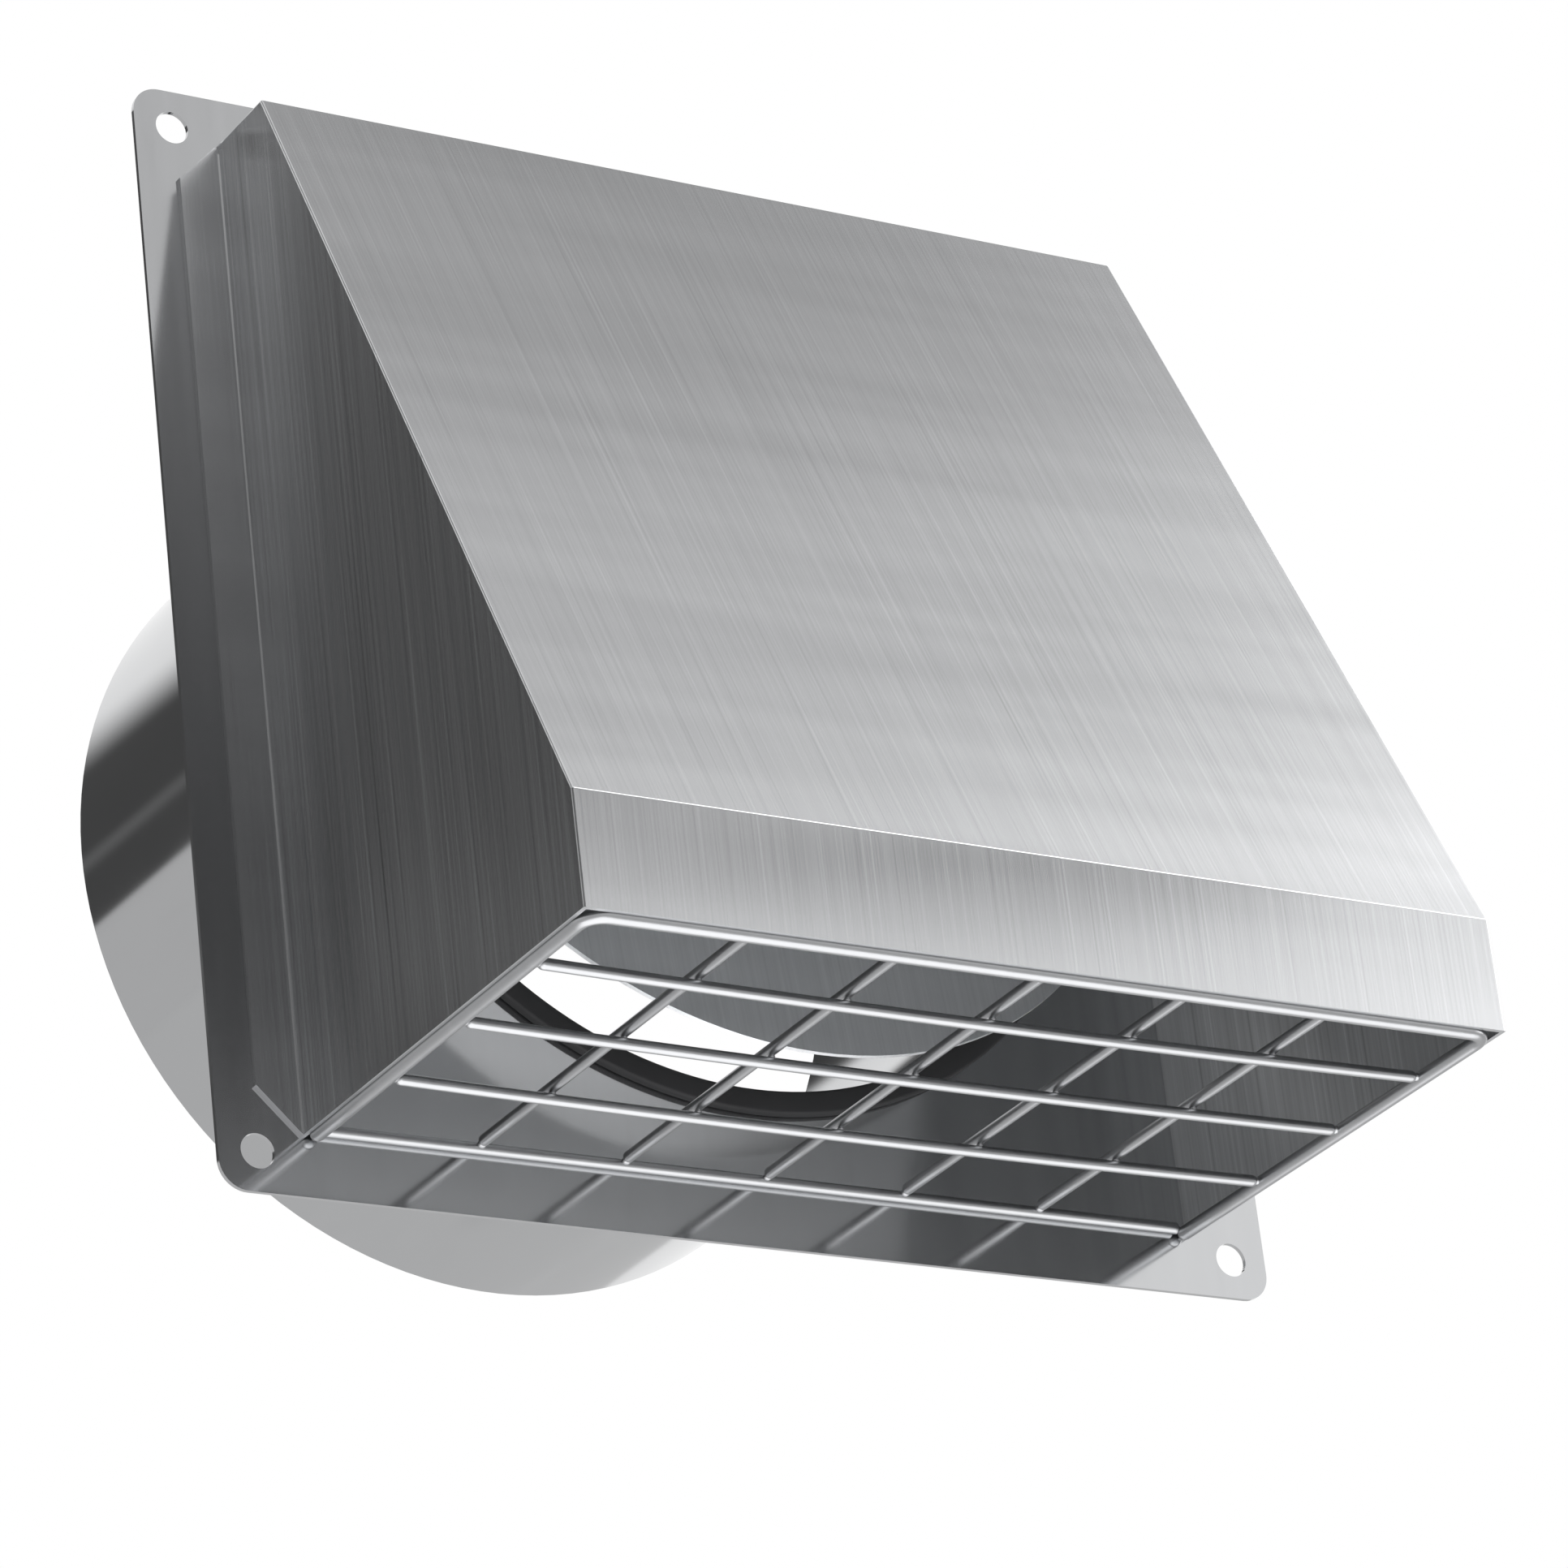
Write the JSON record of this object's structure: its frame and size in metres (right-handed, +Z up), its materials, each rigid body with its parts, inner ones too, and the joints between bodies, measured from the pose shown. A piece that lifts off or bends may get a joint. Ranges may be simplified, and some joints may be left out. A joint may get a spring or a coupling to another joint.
{
  "type": "dryer vent cap",
  "caption": "Wall vent hood of folded stainless sheet for a round duct, with a swinging back-draught flap and a welded wire grille over its mouth.",
  "frame": {"origin": "on the duct's axis in the plane of the wall, the back face of the wall plate", "axes": "+Y into the wall along the duct's axis, +Z up, so the hood stands out towards -Y and opens downwards"},
  "size_m": [0.2, 0.1802, 0.2],
  "materials": {
    "brushed_steel": "fine brushed grain",
    "flap_steel": "satin",
    "polished_steel": "bright polished",
    "wire_steel": "bright drawn wire",
    "seal_rubber": "matt black"
  },
  "bodies": {
    "housing": {"wall_plate": "polished_steel", "duct_spigot": "polished_steel", "seal_ring": "seal_rubber", "hood_shell": "brushed_steel", "hinge_lug_left": "polished_steel", "hinge_lug_right": "polished_steel", "hinge_pin": "wire_steel", "pin_clip_left": "wire_steel", "pin_clip_right": "wire_steel", "grille_frame": "wire_steel", "back_bar": "wire_steel", "long_bar_1": "wire_steel", "long_bar_2": "wire_steel", "long_bar_3": "wire_steel", "cross_bar_1": "wire_steel", "cross_bar_2": "wire_steel", "cross_bar_3": "wire_steel", "cross_bar_4": "wire_steel", "cross_bar_5": "wire_steel"},
    "flap": {"damper_flap": "flap_steel"}
  },
  "joints": [
    {"name": "flap_hinge", "type": "hinge", "parent": "housing", "child": "flap", "pos_m": [0, -0.0052, 0.0792], "axis": [-1, 0, 0], "range_deg": [-7.4, 23.6]}
  ]
}
